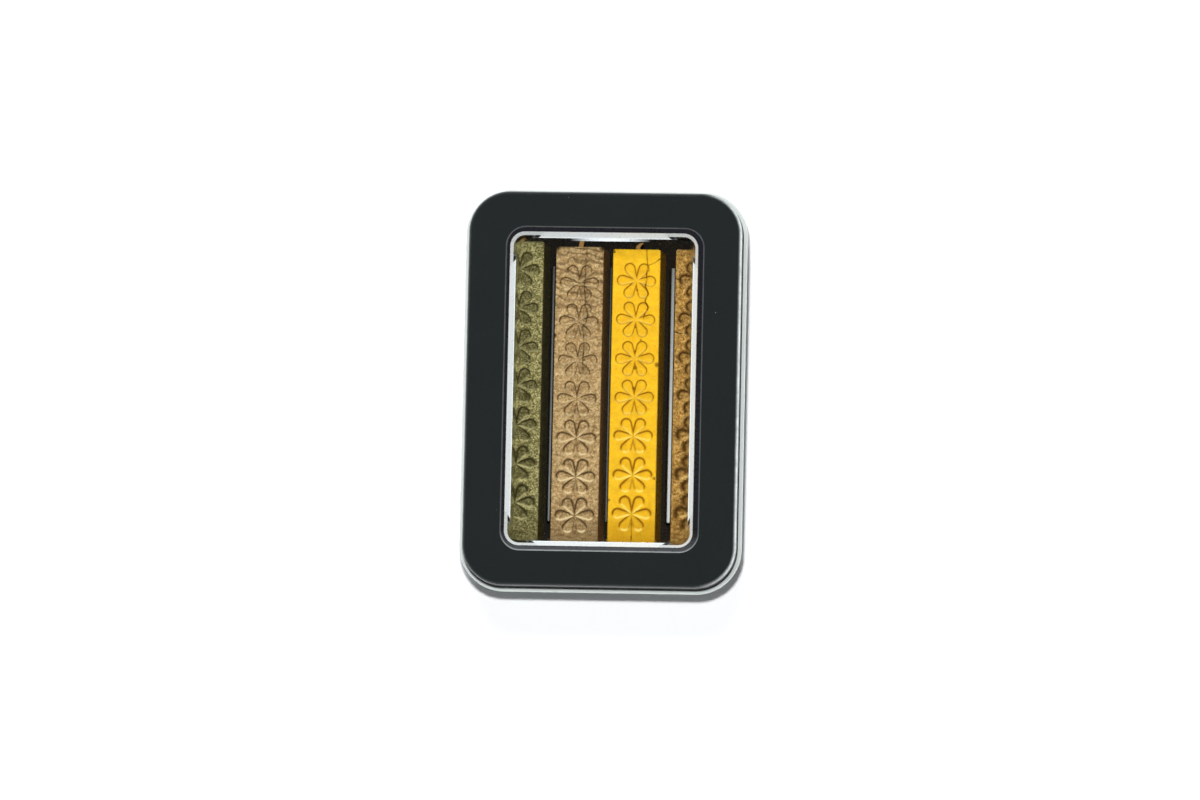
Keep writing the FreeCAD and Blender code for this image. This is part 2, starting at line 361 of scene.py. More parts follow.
class Recipe:
    """A new material, with short ways to add and link its nodes."""

    def __init__(self, name):
        self.material = bpy.data.materials.new(name)
        self.material.use_nodes = True
        self.tree = self.material.node_tree
        self.shader = self.tree.nodes["Principled BSDF"]
        self.output = self.tree.nodes["Material Output"]

    def add(self, kind, **settings):
        node = self.tree.nodes.new("ShaderNode" + kind)
        for key, value in settings.items():
            setattr(node, key, value)
        return node

    def link(self, source, target):
        self.tree.links.new(source, target)

    def set(self, **values):
        """Values for the shader's own sockets, with _ for a space in their names."""
        for key, value in values.items():
            self.shader.inputs[key.replace("_", " ")].default_value = value

    def wire(self, **links):
        """Links to the shader's own sockets, named in the same way."""
        for key, value in links.items():
            self.link(value, self.shader.inputs[key.replace("_", " ")])

    def coordinates(self, scale=(1, 1, 1)):
        """Coordinates in the object's own space, in millimetres times a scale."""
        mapping = self.add("Mapping")
        mapping.inputs["Scale"].default_value = [value / mm for value in scale]
        self.link(self.add("TexCoord").outputs["Object"], mapping.inputs["Vector"])
        return mapping.outputs["Vector"]

    def texture(self, kind, stretch=(1, 1, 1), **values):
        """A texture laid over the object, with values for its sockets."""
        node = self.add("Tex" + kind)
        for key, value in values.items():
            node.inputs[key.replace("_", " ")].default_value = value
        self.link(self.coordinates(stretch), node.inputs["Vector"])
        return node

    def noise(self, scale, detail=3.0, rough=0.55, stretch=(1, 1, 1), distortion=0.0):
        node = self.texture(
            "Noise", stretch, Scale=scale, Detail=detail, Roughness=rough, Distortion=distortion
        )
        return node.outputs["Fac"]

    def cells(self, scale):
        """Small cells: a random value for each, and the distance from its middle."""
        node = self.texture("Voronoi", Scale=scale)
        split = self.add("SeparateColor")
        self.link(node.outputs["Color"], split.inputs["Color"])
        return split.outputs["Red"], node.outputs["Distance"]

    def specks(self, scale, reach, share):
        """Round specks, at the middles of a small share of cells."""
        value, distance = self.cells(scale)
        chosen = self.math("GREATER_THAN", value, 1 - share)
        return self.math("MULTIPLY", chosen, self.ramp(distance, reach, reach / 2))

    def waves(self, scale, distortion):
        """Wavy lines across the object's length."""
        node = self.texture("Wave", Scale=scale, Distortion=distortion, Detail=3.0, Detail_Scale=0.8)
        node.bands_direction = "Y"
        return node.outputs["Fac"]

    def attribute(self, name):
        return self.add("Attribute", attribute_name=name).outputs["Fac"]

    def ramp(self, source, low, high, bottom=0.0, top=1.0):
        node = self.add("MapRange")
        for socket, value in zip(node.inputs[1:5], (low, high, bottom, top)):
            socket.default_value = value
        self.link(source, node.inputs["Value"])
        return node.outputs["Result"]

    def fill(self, socket, value):
        """Give a socket a number, a colour or a link."""
        if isinstance(value, (int, float)):
            socket.default_value = value
        elif isinstance(value, (tuple, list)):
            socket.default_value = (*value, 1.0)
        else:
            self.link(value, socket)

    def math(self, operation, first, second):
        node = self.add("Math", operation=operation)
        self.fill(node.inputs[0], first)
        self.fill(node.inputs[1], second)
        return node.outputs["Value"]

    def mix(self, factor, first, second):
        """Colour between two colours; sockets 6 and 7 of the node are its colours."""
        node = self.add("Mix", data_type="RGBA")
        for socket, value in ((0, factor), (6, first), (7, second)):
            self.fill(node.inputs[socket], value)
        return node.outputs[2]

    def bump(self, height, strength, distance, below=None):
        node = self.add("Bump")
        node.inputs["Strength"].default_value = strength
        node.inputs["Distance"].default_value = distance
        self.link(height, node.inputs["Height"])
        if below is not None:
            self.link(below, node.inputs["Normal"])
        return node.outputs["Normal"]


def black_lacquer(name, rough, gloss):
    """Black over tinplate: faint orange peel, dust, rubbed patches and painted highlights along the
    edges.
    """
    recipe = Recipe(name)
    recipe.set(Specular_IOR_Level=gloss)
    cloud = recipe.noise(0.06, detail=4.0)
    film = recipe.ramp(recipe.noise(2.6, detail=2.0), 0.66, 0.78)
    base = recipe.mix(cloud, (0.0130, 0.0160, 0.0165), (0.0160, 0.0192, 0.0200))
    base = recipe.mix(recipe.math("MULTIPLY", film, 0.12), base, (0.10, 0.11, 0.11))
    dust = recipe.specks(0.4, 0.07, 0.05)
    base = recipe.mix(dust, base, (0.14, 0.15, 0.15))
    # painted highlight along the lid's edges: the lacquer is mixed towards pale grey, broken up by noise
    patchy = recipe.ramp(recipe.noise(0.35, detail=4.0, rough=0.7), 0.35, 0.55, 0.7, 1.0)
    painted_edge_highlight = recipe.math("MULTIPLY", recipe.attribute("painted_edge_highlight"), patchy)
    recipe.wire(Base_Color=recipe.mix(painted_edge_highlight, base, (0.80, 0.86, 0.86)))
    rubbed = recipe.noise(0.5, detail=5.0)
    recipe.wire(Roughness=recipe.ramp(rubbed, 0.3, 0.7, rough, rough + 0.02))
    recipe.wire(Normal=recipe.bump(recipe.noise(1.1, detail=2.0), 0.05, 0.05 * mm))
    return recipe.material


def tinplate():
    """Bare tinned steel with rolling lines and a dulled bloom."""
    recipe = Recipe("tinplate")
    recipe.set(Metallic=0.35)
    bloom = recipe.noise(0.35, detail=4.0)
    lines = recipe.noise(3.0, stretch=(1, 0.05, 1))
    recipe.wire(Base_Color=recipe.mix(bloom, (0.76, 0.83, 0.80), (0.86, 0.92, 0.89)))
    recipe.wire(Roughness=recipe.ramp(lines, 0.3, 0.7, 0.50, 0.62))
    recipe.wire(Normal=recipe.bump(lines, 0.08, 0.03 * mm))
    return recipe.material


def see_through(recipe, tint):
    """Let shadow and diffuse rays pass straight through, so that light reaches what lies behind."""
    path = recipe.add("LightPath")
    passing = recipe.math("MAXIMUM", path.outputs["Is Shadow Ray"], path.outputs["Is Diffuse Ray"])
    clear = recipe.add("BsdfTransparent")
    clear.inputs["Color"].default_value = (*tint, 1.0)
    blend = recipe.add("MixShader")
    recipe.link(passing, blend.inputs["Fac"])
    recipe.link(recipe.shader.outputs["BSDF"], blend.inputs[1])
    recipe.link(clear.outputs["BSDF"], blend.inputs[2])
    recipe.link(blend.outputs["Shader"], recipe.output.inputs["Surface"])


def clear_sheet():
    """Clear formed sheet with a little handling haze."""
    recipe = Recipe("clear_sheet")
    recipe.set(Base_Color=(0.985, 0.99, 0.985, 1.0), Transmission_Weight=1.0, IOR=1.45)
    haze = recipe.noise(0.25, detail=5.0)
    recipe.wire(Roughness=recipe.ramp(haze, 0.6, 0.85, 0.0, 0.03))
    see_through(recipe, (0.96, 0.97, 0.965))
    return recipe.material


def pane_wall():
    """Wall of the dish, with painted white reflections along its strips and a painted dark reflection of
    the black lid at its bend.
    """
    recipe = Recipe("pane_wall")
    recipe.set(IOR=1.45)
    white = recipe.attribute("painted_highlight")
    dark = recipe.attribute("painted_dark_reflection")
    # painted reflections: white where the wall would mirror bright surroundings, near black where it
    # would mirror the black lid
    recipe.wire(Base_Color=recipe.mix(dark, (0.90, 0.97, 1.0), (0.012, 0.012, 0.016)))
    streaks = recipe.noise(1.4, stretch=(1, 1, 0.3))
    recipe.wire(Roughness=recipe.ramp(streaks, 0.3, 0.7, 0.25, 0.35))
    painted_cover = recipe.math("MULTIPLY", white, recipe.ramp(streaks, 0.25, 0.6, 0.94, 1.0))
    recipe.wire(Transmission_Weight=recipe.math("SUBTRACT", 1.0, recipe.math("MAXIMUM", painted_cover, dark)))
    see_through(recipe, (0.85, 0.87, 0.87))
    return recipe.material


def clear_tape():
    """Milky double-sided tape."""
    recipe = Recipe("clear_tape")
    cloud = recipe.noise(0.8, detail=4.0)
    recipe.wire(Base_Color=recipe.mix(cloud, (0.34, 0.35, 0.34), (0.50, 0.51, 0.49)))
    recipe.wire(Roughness=recipe.ramp(cloud, 0.3, 0.7, 0.45, 0.6))
    return recipe.material


def black_tray():
    """Glossy black formed plastic, a little scuffed and dusted with wax."""
    recipe = Recipe("black_tray")
    scuff = recipe.noise(0.8, detail=5.0)
    specks = recipe.ramp(recipe.noise(3.2, detail=1.0), 0.68, 0.74)
    base = recipe.mix(scuff, (0.010, 0.009, 0.008), (0.020, 0.017, 0.014))
    base = recipe.mix(recipe.math("MULTIPLY", specks, 0.15), base, (0.20, 0.14, 0.06))
    # painted highlight along the rib crests
    recipe.wire(Base_Color=recipe.mix(recipe.attribute("painted_highlight"), base, (0.66, 0.70, 0.70)))
    recipe.wire(Roughness=recipe.ramp(scuff, 0.3, 0.7, 0.22, 0.32))
    recipe.wire(Normal=recipe.bump(scuff, 0.05, 0.05 * mm))
    return recipe.material


def wax(name, deep, body, bright, streak, grain, grain_scale, wave, glow, metallic, rough):
    """Pearly cast wax: mica grain, drawn-out streaks, painted shade in the grooves, painted highlights
    and cracks.
    """
    recipe = Recipe(name)
    mottle = recipe.ramp(recipe.noise(0.45, detail=4.0, rough=0.6), 0.3, 0.7)
    streaks = recipe.noise(0.5, detail=4.0, stretch=(0.25, 1.2, 1), distortion=1.5)
    grains = recipe.noise(grain_scale, rough=0.65)
    flakes = recipe.ramp(recipe.cells(3.0)[0], 0.72, 1.0)
    lines = recipe.math("MULTIPLY", recipe.ramp(recipe.waves(0.15, 15.0), 0.55, 1.0), wave)
    colour = recipe.mix(mottle, body, recipe.mix(0.25, body, deep))
    layers = (
        (recipe.ramp(grains, 0.50, 0.34), grain, deep),
        (recipe.ramp(grains, 0.52, 0.68), grain, bright),
        (recipe.ramp(streaks, 0.46, 0.66), streak, deep),
        (flakes, 0.8 * grain, bright),
        (lines, recipe.attribute("waved"), deep),
        # painted shade along petals, on their floors and sides and towards the lower end, with stains
        # beside cracks
        (recipe.attribute("groove"), 0.95, deep),
    )
    for pattern, amount, tint in layers:
        colour = recipe.mix(recipe.math("MULTIPLY", pattern, amount), colour, tint)
    # painted highlight inside the petals' lower walls
    colour = recipe.mix(recipe.attribute("lit"), colour, bright)
    colour = recipe.mix(recipe.attribute("crack"), colour, [value * 0.45 for value in deep])
    recipe.wire(Base_Color=colour)
    recipe.wire(Roughness=recipe.ramp(mottle, 0.0, 1.0, rough, rough + 0.12))
    fine = recipe.bump(recipe.noise(3.0), 0.20, 0.08 * mm)
    recipe.wire(Normal=recipe.bump(grains, 0.9 * grain, 0.06 * mm, fine))
    recipe.set(Metallic=metallic, Subsurface_Weight=glow, Subsurface_Scale=0.6 * mm)
    recipe.set(Subsurface_Radius=(1.0, 0.6, 0.25))
    return recipe.material


def wick_cord():
    """Waxed cotton, mottled brown."""
    recipe = Recipe("wick_cord")
    yarn = recipe.noise(2.2, detail=4.0)
    recipe.wire(Base_Color=recipe.mix(yarn, (0.36, 0.17, 0.045), (0.58, 0.34, 0.11)))
    recipe.wire(Normal=recipe.bump(recipe.noise(5.0, detail=2.0), 0.4, 0.1 * mm))
    recipe.set(Roughness=0.6)
    return recipe.material


lacquer = black_lacquer("black_lacquer", rough=0.25, gloss=0.9)
dull_lacquer = black_lacquer("dull_lacquer", rough=0.6, gloss=0.1)
satin_lacquer = black_lacquer("satin_lacquer", rough=0.42, gloss=0.25)
tin_metal = tinplate()
cord = wick_cord()
waxes = [
    wax(
        "olive_wax", deep=(0.026, 0.022, 0.006), body=(0.285, 0.246, 0.087), bright=(0.85, 0.77, 0.38),
        streak=0.50, grain=0.72, grain_scale=2.0, wave=0.0, glow=0.0, metallic=0.2, rough=0.38,
    ),
    wax(
        "bronze_wax", deep=(0.080, 0.040, 0.013), body=(0.630, 0.400, 0.172), bright=(1.0, 0.79, 0.45),
        streak=0.35, grain=0.58, grain_scale=1.7, wave=0.6, glow=0.0, metallic=0.2, rough=0.36,
    ),
    wax(
        "gold_wax", deep=(0.27, 0.088, 0.002), body=(0.97, 0.565, 0.022), bright=(1.0, 0.80, 0.19),
        streak=0.06, grain=0.08, grain_scale=1.4, wave=0.0, glow=0.25, metallic=0.0, rough=0.22,
    ),
    wax(
        "ochre_wax", deep=(0.060, 0.024, 0.004), body=(0.520, 0.272, 0.062), bright=(0.97, 0.63, 0.22),
        streak=0.30, grain=0.72, grain_scale=1.7, wave=0.15, glow=0.05, metallic=0.15, rough=0.36,
    ),
]


# Tin


def edge_wear(point, top):
    """How strong the painted highlight is along the lid's edge, most at the right."""
    across = (top - point[2]) / lid_edge_radius
    line = clamp(highlight_gain * (1 - abs(across - highlight_middle_share) / highlight_half_share))
    return line * min(max((point[0] - highlight_from) / highlight_run, highlight_least), 1.0)


def window_wear(point):
    """How strong the painted highlight is along the window's edge, most along the lower side."""
    lower = clamp((window_radius - window_length / 2 - point[1]) / window_radius)
    return window_edge_highlight_else + (window_edge_highlight_low - window_edge_highlight_else) * lower


def tin_lid():
    """Drawn cover, black outside and bare inside; the curled bead shows the bare side."""
    low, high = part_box("tin_lid")
    bead_over = 4 * bead_radius - 2 * sheet  # past the skirt, on both sides together
    outer = (high.x - low.x - bead_over, high.y - low.y - bead_over, skirt_corner)
    window = (window_width, window_length, window_radius)
    top = high.z
    under = top - sheet
    edge_z = top - lid_edge_radius
    bead_out = bead_radius - sheet
    bead_z = low.z + bead_radius
    black, bare, dull = 0, 1, 2
    rings = [grown(*window, 0, under), grown(*window, 0, top - window_bevel)]
    for out, z in arc(window_bevel, top - window_bevel, window_bevel, 180, 90, 4)[1:]:
        rings.append(grown(*window, out, z))
    bands = [black] * len(rings)
    rings.append(grown(*window, window_bevel + flat_margin, top))
    section = [(-lid_edge_radius - flat_margin, top)]
    section += arc(-lid_edge_radius, edge_z, lid_edge_radius, 90, 0)
    edge_count = len(section)
    section += [(0, edge_z - flat_margin), (0, bead_z + flat_margin)]
    section += arc(bead_out, bead_z, bead_out, 180, 180 + bead_curl, 16)
    black_count = len(section)
    section += arc(bead_out, bead_z, bead_radius, 180 + bead_curl, 180, 24)
    section += [(-sheet, bead_z + flat_margin), (-sheet, edge_z - flat_margin)]
    section += arc(-lid_edge_radius, edge_z, lid_edge_radius - sheet, 0, 90)
    section += [(-lid_edge_radius - flat_margin, under)]
    edge_start = len(rings)
    rings += [grown(*outer, out, z) for out, z in section]
    rings.append(grown(*window, flat_margin, under))
    bands += [black] * edge_count + [dull] * (black_count - edge_count)
    bands += [bare] * (len(rings) - len(bands))
    shell = join_rings(rings, bands, closed=True)
    piece = mesh_object("lid_shell", *shell, [lacquer, tin_metal, dull_lacquer])
    # painted highlights along the window's edge and the lid's outer edge
    plain = [0.0] * len(rings[0])
    painted_edge_highlight = plain + [window_wear(point) for points in rings[1:edge_start - 1] for point in points]
    painted_edge_highlight += plain + [edge_wear(point, top) for points in rings[edge_start:] for point in points]
    mark(piece, "painted_edge_highlight", painted_edge_highlight)
    place(piece, "lid", "black_lacquer", "tin_lid")


def tin_base():
    """Drawn shell, black outside and over its folded rim, bare inside."""
    low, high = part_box("tin_base")
    outer = (high.x - low.x, high.y - low.y, base_corner)
    hem_z = high.z - hem_radius
    leg_end = hem_z - hem_leg
    black, bare = 0, 1
    section = [(-base_edge_radius - flat_margin, 0)]
    section += arc(-base_edge_radius, base_edge_radius, base_edge_radius, -90, 0)
    section += [(0, base_edge_radius + flat_margin), (0, hem_z - flat_margin)]
    section += arc(-hem_radius, hem_z, hem_radius, 0, 180, 10)
    section += [(-2 * hem_radius, leg_end)]
    black_count = len(section)
    section += [(sheet - 2 * hem_radius, leg_end)]
    section += arc(-hem_radius, hem_z, hem_radius - sheet, 180, 0, 8)
    section += [(-sheet, hem_z - flat_margin), (-sheet, base_edge_radius + flat_margin)]
    section += arc(-base_edge_radius, base_edge_radius, base_edge_radius - sheet, 0, -90)
    section += [(-base_edge_radius - flat_margin, sheet)]
    rings = [grown(*outer, out, z) for out, z in section]
    bands = [black] * black_count + [bare] * (len(section) - black_count)
    piece = mesh_object("base_shell", *join_rings(rings, bands), [satin_lacquer, tin_metal])
    place(piece, "tin", "black_lacquer", "tin_base")


# Window


def dish_section(grow, floor, lip, lip_radius, foot_radius):
    """One skin of the dish, from its floor up the leaning wall to its flange."""
    mouth = grow - pane_mouth_gap
    foot = mouth - pane_wall_run
    lean = math.degrees(math.atan2(lip - floor, pane_wall_run))
    reach = math.tan(math.radians(lean / 2))
    foot_out = foot - foot_radius * reach
    lip_out = mouth + lip_radius * reach
    section = [(foot_out - glare_run - flat_margin, floor), (foot_out - glare_run, floor)]
    section += arc(foot_out, floor + foot_radius, foot_radius, -90, lean - 90)
    bend = arc(lip_out, lip - lip_radius, lip_radius, lean + 90, 90)
    (low_out, low_z), (high_out, high_z) = section[-1], bend[0]
    for row in range(1, wall_rows):
        share = row / wall_rows
        section.append((low_out + (high_out - low_out) * share, low_z + (high_z - low_z) * share))
    return section + bend + [(lip_out + flat_margin, lip)]


def fine_ring(width, length, radius, z):
    """Ring with extra stations on each straight run near its corners."""
    points = ring(width, length, radius, z)
    count = corner_steps + 1
    fine = []
    for quarter in range(4):
        fine += points[quarter * count:(quarter + 1) * count]
        start = Vector(fine[-1])
        end = Vector(points[(quarter + 1) * count % len(points)])
        way = (end - start).normalized()
        fine += [tuple(start + way * run) for run in wall_stations]
        fine += [tuple(end - way * run) for run in reversed(wall_stations)]
    return fine


def wall_marks(point, share):
    """How much painted white reflection and painted dark reflection the wall has at a point, by its share
    of the way down from the mouth.
    """
    x, y, z = point
    past_side = window_length / 2 - window_radius - abs(y)
    past_end = window_width / 2 - window_radius - abs(x)
    run = max(past_side, past_end)
    strip_start = strip_slant[0] + (strip_slant[1] - strip_slant[0]) * share
    # painted dark reflection at the bend, white strips and corner bands, dark wedges, and the floor's
    # painted glare
    if share < rim_share:
        lighter = share < rim_flat_share and y < 0
        return 1.0, 1.0 - (rim_light * clamp(-past_side / window_radius) if lighter else 0.0)
    if share > glare_share:
        aside = (x - glare_middle) / glare_half
        return glare_white * max(1 - aside * aside, 0.0) if y > 0 else 0.0, 0.0
    if run > strip_start:
        return 1.0, 0.0
    if share < corner_band_share:
        return corner_reflection, 0.0
    return 0.0, 1.0 if run > strip_start - wedge_run else 0.0


def window_pane():
    """Clear dish with round bends, its walls marked with painted reflections."""
    low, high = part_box("window_pane")
    flange = (high.x - low.x - window_width) / 2
    middle = (low.x + high.x) / 2
    under_z = high.z - pane_sheet
    clear, wall = 0, 1
    upper = dish_section(0, low.z + pane_sheet, high.z, pane_lip_radius, pane_foot_radius)
    under = dish_section(pane_sheet, low.z, under_z, pane_lip_radius / 2, pane_foot_radius + pane_sheet)
    section = upper + [(rim_run, high.z), (flange, high.z), (flange, under_z)] + under[::-1]
    rings = []
    marks = []
    for out, z in section:
        points = fine_ring(window_width + 2 * out, window_length + 2 * out, window_radius + out, z)
        share = (high.z - z) / (high.z - low.z)
        marks += [wall_marks(point, share) for point in points]
        rings.append([(x + middle, y, z) for x, y, z in points])
    bands = []
    for row, (out, z) in enumerate(section[1:]):
        bands.append(wall if 0 < row < len(upper) and out <= rim_run else clear)
    piece = mesh_object("pane_dish", *join_rings(rings, bands), [clear_sheet(), pane_wall()])
    # painted reflections for the wall's material
    for name, values in zip(("painted_highlight", "painted_dark_reflection"), zip(*marks)):
        mark(piece, name, values)
    place(piece, "lid", "clear_sheet", "window_pane")


def window_tape():
    """The tape keeps its solid, with a material of its own."""
    node = frame["nodes"]["window_tape"]
    node.data.materials.clear()
    node.data.materials.append(clear_tape())


# Tray


def rib_rings(x, floor, lean, crest_width):
    """Rings, from foot to crest, of one low rib with round ends and a round crest."""
    half_crest = crest_width / 2
    shoulder = rib_height - half_crest
    straight = [rib_length * (station / rib_stations - 0.5) for station in range(1, rib_stations)]
    heights = [(rib_foot_width / 2, 0), (half_crest, shoulder)]
    heights += arc(0, shoulder, half_crest, 0, crest_turn, crest_steps)[1:]
    count = corner_steps + 1
    rings = []
    for half, height in heights:
        length = rib_length - max(rib_foot_width, crest_width) + 2 * half
        points = ring(2 * half, length, rib_corner_share * half, floor + height)
        right = [(half, y, floor + height) for y in straight]
        left = [(-half, y, floor + height) for y in reversed(straight)]
        points = points[:count] + right + points[count:3 * count] + left + points[3 * count:]
        aside = x + lean * height / rib_height
        rings.append([(aside + px, py, pz) for px, py, pz in points])
    return rings


def crest_fade(point):
    """A crest's painted highlight is strongest at its lower end."""
    return crest_least + (1 - crest_least) * clamp(crest_white_share - point[1] / rib_length)


def tray_rings(low, high):
    """Rings of the deck and its pocket, from the pocket's floor to the underside."""
    deck = (high.x - low.x, high.y - low.y, deck_corner)
    pocket = (pocket_width, pocket_length, pocket_corner)
    floor = low.z + tray_sheet
    under = high.z - tray_sheet
    lip = pocket_lip_radius
    edge = tray_sheet / 2
    section = [(pocket, -pocket_corner / 2, floor), (pocket, 0, floor + pocket_corner / 4)]
    section += [(pocket, *point) for point in arc(pocket_draft + lip, high.z - lip, lip, 180, 90)]
    section += [(pocket, pocket_draft + lip + flat_margin, high.z), (deck, -edge - flat_margin, high.z)]
    section += [(deck, *point) for point in arc(-edge, high.z - edge, edge, 90, -90)]
    section += [
        (deck, -edge - flat_margin, under),
        (pocket, pocket_draft + 2 * tray_sheet, under),
        (pocket, pocket_draft + tray_sheet, under - tray_sheet),
        (pocket, tray_sheet, low.z + edge),
        (pocket, edge, low.z),
    ]
    return [grown(*shape, out, z) for shape, out, z in section]


def stick_tray():
    """Formed insert: deck, pocket with round lips and a rib between each pair of sticks."""
    low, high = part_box("stick_tray")
    middle = (low.x + high.x) / 2
    rings = tray_rings(low, high)
    vertices, faces, bands = join_rings(rings)
    whites = [0.0] * len(vertices)
    for gap, white, lean, width in zip((-1, 0, 1), crest_highlights, crest_leans, rib_crest_widths):
        rib = rib_rings(gap * stick_pitch, low.z + tray_sheet - flat_margin, lean, width)
        rib_vertices, rib_faces, rib_bands = join_rings(rib)
        start = len(vertices)
        vertices += rib_vertices
        faces += [tuple(start + index for index in face) for face in rib_faces]
        bands += rib_bands
        # painted highlight on each crest, strongest at its lower end
        for row, points in enumerate(rib):
            whites += [white * crest_fade(point) if row > 1 else 0.0 for point in points]
    vertices = [(x + middle, y, z) for x, y, z in vertices]
    piece = mesh_object("tray_insert", vertices, faces, bands, [black_tray()])
    mark(piece, "painted_highlight", whites)
    place(piece, "tin", "black_tray", "stick_tray")


# Wax sticks


def ease(low, high, value):
    """Smooth step from 0 at low to 1 at high."""
    share = np.clip((value - low) / (high - low), 0, 1)
    return share * share * (3 - 2 * share)


def smooth_noise(x, y, length, seed):
    """Smooth noise over a stick's top, with hills of about a length."""
    values = [noise.noise(Vector((px / length, py / length, seed))) for px, py in zip(x.flat, y.flat)]
    return np.array(values).reshape(x.shape)


def grid_lines(half):
    """Lines across a face, closer together over its rounded edges."""
    flat = half - stick_edge_radius
    turns = [math.pi / 2 * step / stick_bend_steps for step in range(1, stick_bend_steps + 1)]
    bend = [flat + stick_edge_radius * math.sin(turn) for turn in turns]
    inner = np.linspace(-flat, flat, round(2 * flat / stick_grain) + 1)
    return np.concatenate([[-line for line in reversed(bend)], inner, bend])


def rounded_grid(half_x, half_y):
    """Grid over a stick's top round at its corners, and how far inside the edge each point is."""
    x, y = np.meshgrid(grid_lines(half_x), grid_lines(half_y))
    in_x = np.maximum(np.abs(x) - half_x + stick_corner, 0)
    in_y = np.maximum(np.abs(y) - half_y + stick_corner, 0)
    at_corner = (in_x > 0) & (in_y > 0)
    shrink = np.ones(x.shape)
    shrink[at_corner] = np.maximum(in_x, in_y)[at_corner] / np.hypot(in_x, in_y)[at_corner]
    x = np.sign(x) * (np.abs(x) - in_x + in_x * shrink)
    y = np.sign(y) * (np.abs(y) - in_y + in_y * shrink)
    return x, y, stick_corner - np.hypot(in_x * shrink, in_y * shrink)


def flower_distance(x, y):
    """Distance to the outline of a flower about the origin, negative inside it."""
    step = 2 * math.pi / petal_count
    turn = np.round(np.arctan2(y, x) / step) * step
    along = x * np.cos(turn) + y * np.sin(turn)
    across = np.abs(y * np.cos(turn) - x * np.sin(turn))
    length = petal_reach - petal_end_radius
    lean = (petal_hub_radius - petal_end_radius) / length
    rise = math.sqrt(1 - lean * lean)
    station = along * rise - across * lean
    side = across * rise + along * lean - petal_hub_radius
    hub = np.hypot(across, along) - petal_hub_radius
    end = np.hypot(across, along - length) - petal_end_radius
    return np.where(station < 0, hub, np.where(station > rise * length, end, side))


def row_distance(x, y, number):
    """Distance to the nearest flower of a stick's row, each one a little off its place."""
    last = flower_count // 2
    nearest = np.clip(np.round(y / flower_pitch), -last, last)
    distance = np.full(x.shape, flower_pitch)
    for flower in range(-last, last + 1):
        here = nearest == flower
        wander = noise.noise_vector(Vector((flower * flower_seed, number * stick_seed, row_seed)))
        turn = flower_turn * wander.z
        dx = x[here] - flower_jitter * wander.x
        dy = y[here] - flower * flower_pitch - flower_jitter * wander.y
        distance[here] = flower_distance(
            dx * math.cos(turn) - dy * math.sin(turn), dx * math.sin(turn) + dy * math.cos(turn)
        )
    return distance


def line_distance(x, y, points):
    """Distance to a line through listed points, which are in millimetres."""
    best = np.full(x.shape, 1.0)
    for start, end in zip(points, points[1:]):
        ax, ay = start[0] * mm, start[1] * mm
        run_x, run_y = end[0] * mm - ax, end[1] * mm - ay
        share = np.clip(((x - ax) * run_x + (y - ay) * run_y) / (run_x ** 2 + run_y ** 2), 0, 1)
        best = np.minimum(best, np.hypot(x - ax - share * run_x, y - ay - share * run_y))
    return best


def petal_press(distance):
    """Share of its full depth to which a petal is pressed: its wall, then its hollow floor."""
    wall = ease(0.0, petal_wall, -distance)
    bowl = ease(0.0, petal_bowl, -distance)
    return petal_wall_share * wall + (1 - petal_wall_share) * bowl


def petal_marks(x, row_y, number, distance, pressed):
    """Painted shade along the petals and on their floors, and painted highlight lines inside their lower
    walls.
    """
    index = number - 1
    way_x, way_y = groove_ways[index]
    beside = row_distance(x + way_x * petal_wall, row_y + way_y * petal_wall, number)
    wall_way = (beside - distance) / petal_wall
    upper = ease(*groove_fade, row_y)
    least = lower_grooves[index] * upper
    sided = least + (1 - least) * ease(*groove_turn, wall_way)
    # painted shade lines along the petals, darkest on one side
    line_width = groove_widths[index] * (1 + groove_growth * (1 - upper))
    groove = np.exp(-((distance + petal_wall / 2) / line_width) ** 2) * sided
    # painted highlight lines inside the lower walls
    lit = np.exp(-((distance + lit_inset) / lit_width) ** 2) * ease(*lit_turn, -wall_way)
    lit = lit * petal_highlights[index] * (1 - lit_fade * upper)
    return np.maximum(groove, petal_shades[index] * pressed), lit


def stick_wear(x, y, row_y, number):
    """Cracks and pits of a stick, how near a crack is, and how deep the pits are."""
    broken = crack_mean + crack_swing * smooth_noise(x, y, crack_grain, number + crack_seed)
    crack = np.zeros(x.shape)
    beside = np.zeros(x.shape)
    dents = np.zeros(x.shape)
    for points in stick_cracks[number - 1]:
        away = line_distance(x, row_y, points)
        near = 1 - ease(crack_width / 2, 2 * crack_width, away)
        crack = np.maximum(crack, near * np.clip(broken, crack_least, 1.0))
        beside = np.maximum(beside, 1 - ease(stain_start, stain_run, away))
    for pit_x, pit_y, radius, depth in stick_pits[number - 1]:
        reach = np.hypot(x - pit_x * mm, row_y - pit_y * mm) / (radius * mm)
        dents += depth * mm * np.clip(1 - reach ** 2, 0, 1)
        crack = np.maximum(crack, pit_tint * np.clip(pit_rim - reach, 0, 1))
    return crack, beside, dents


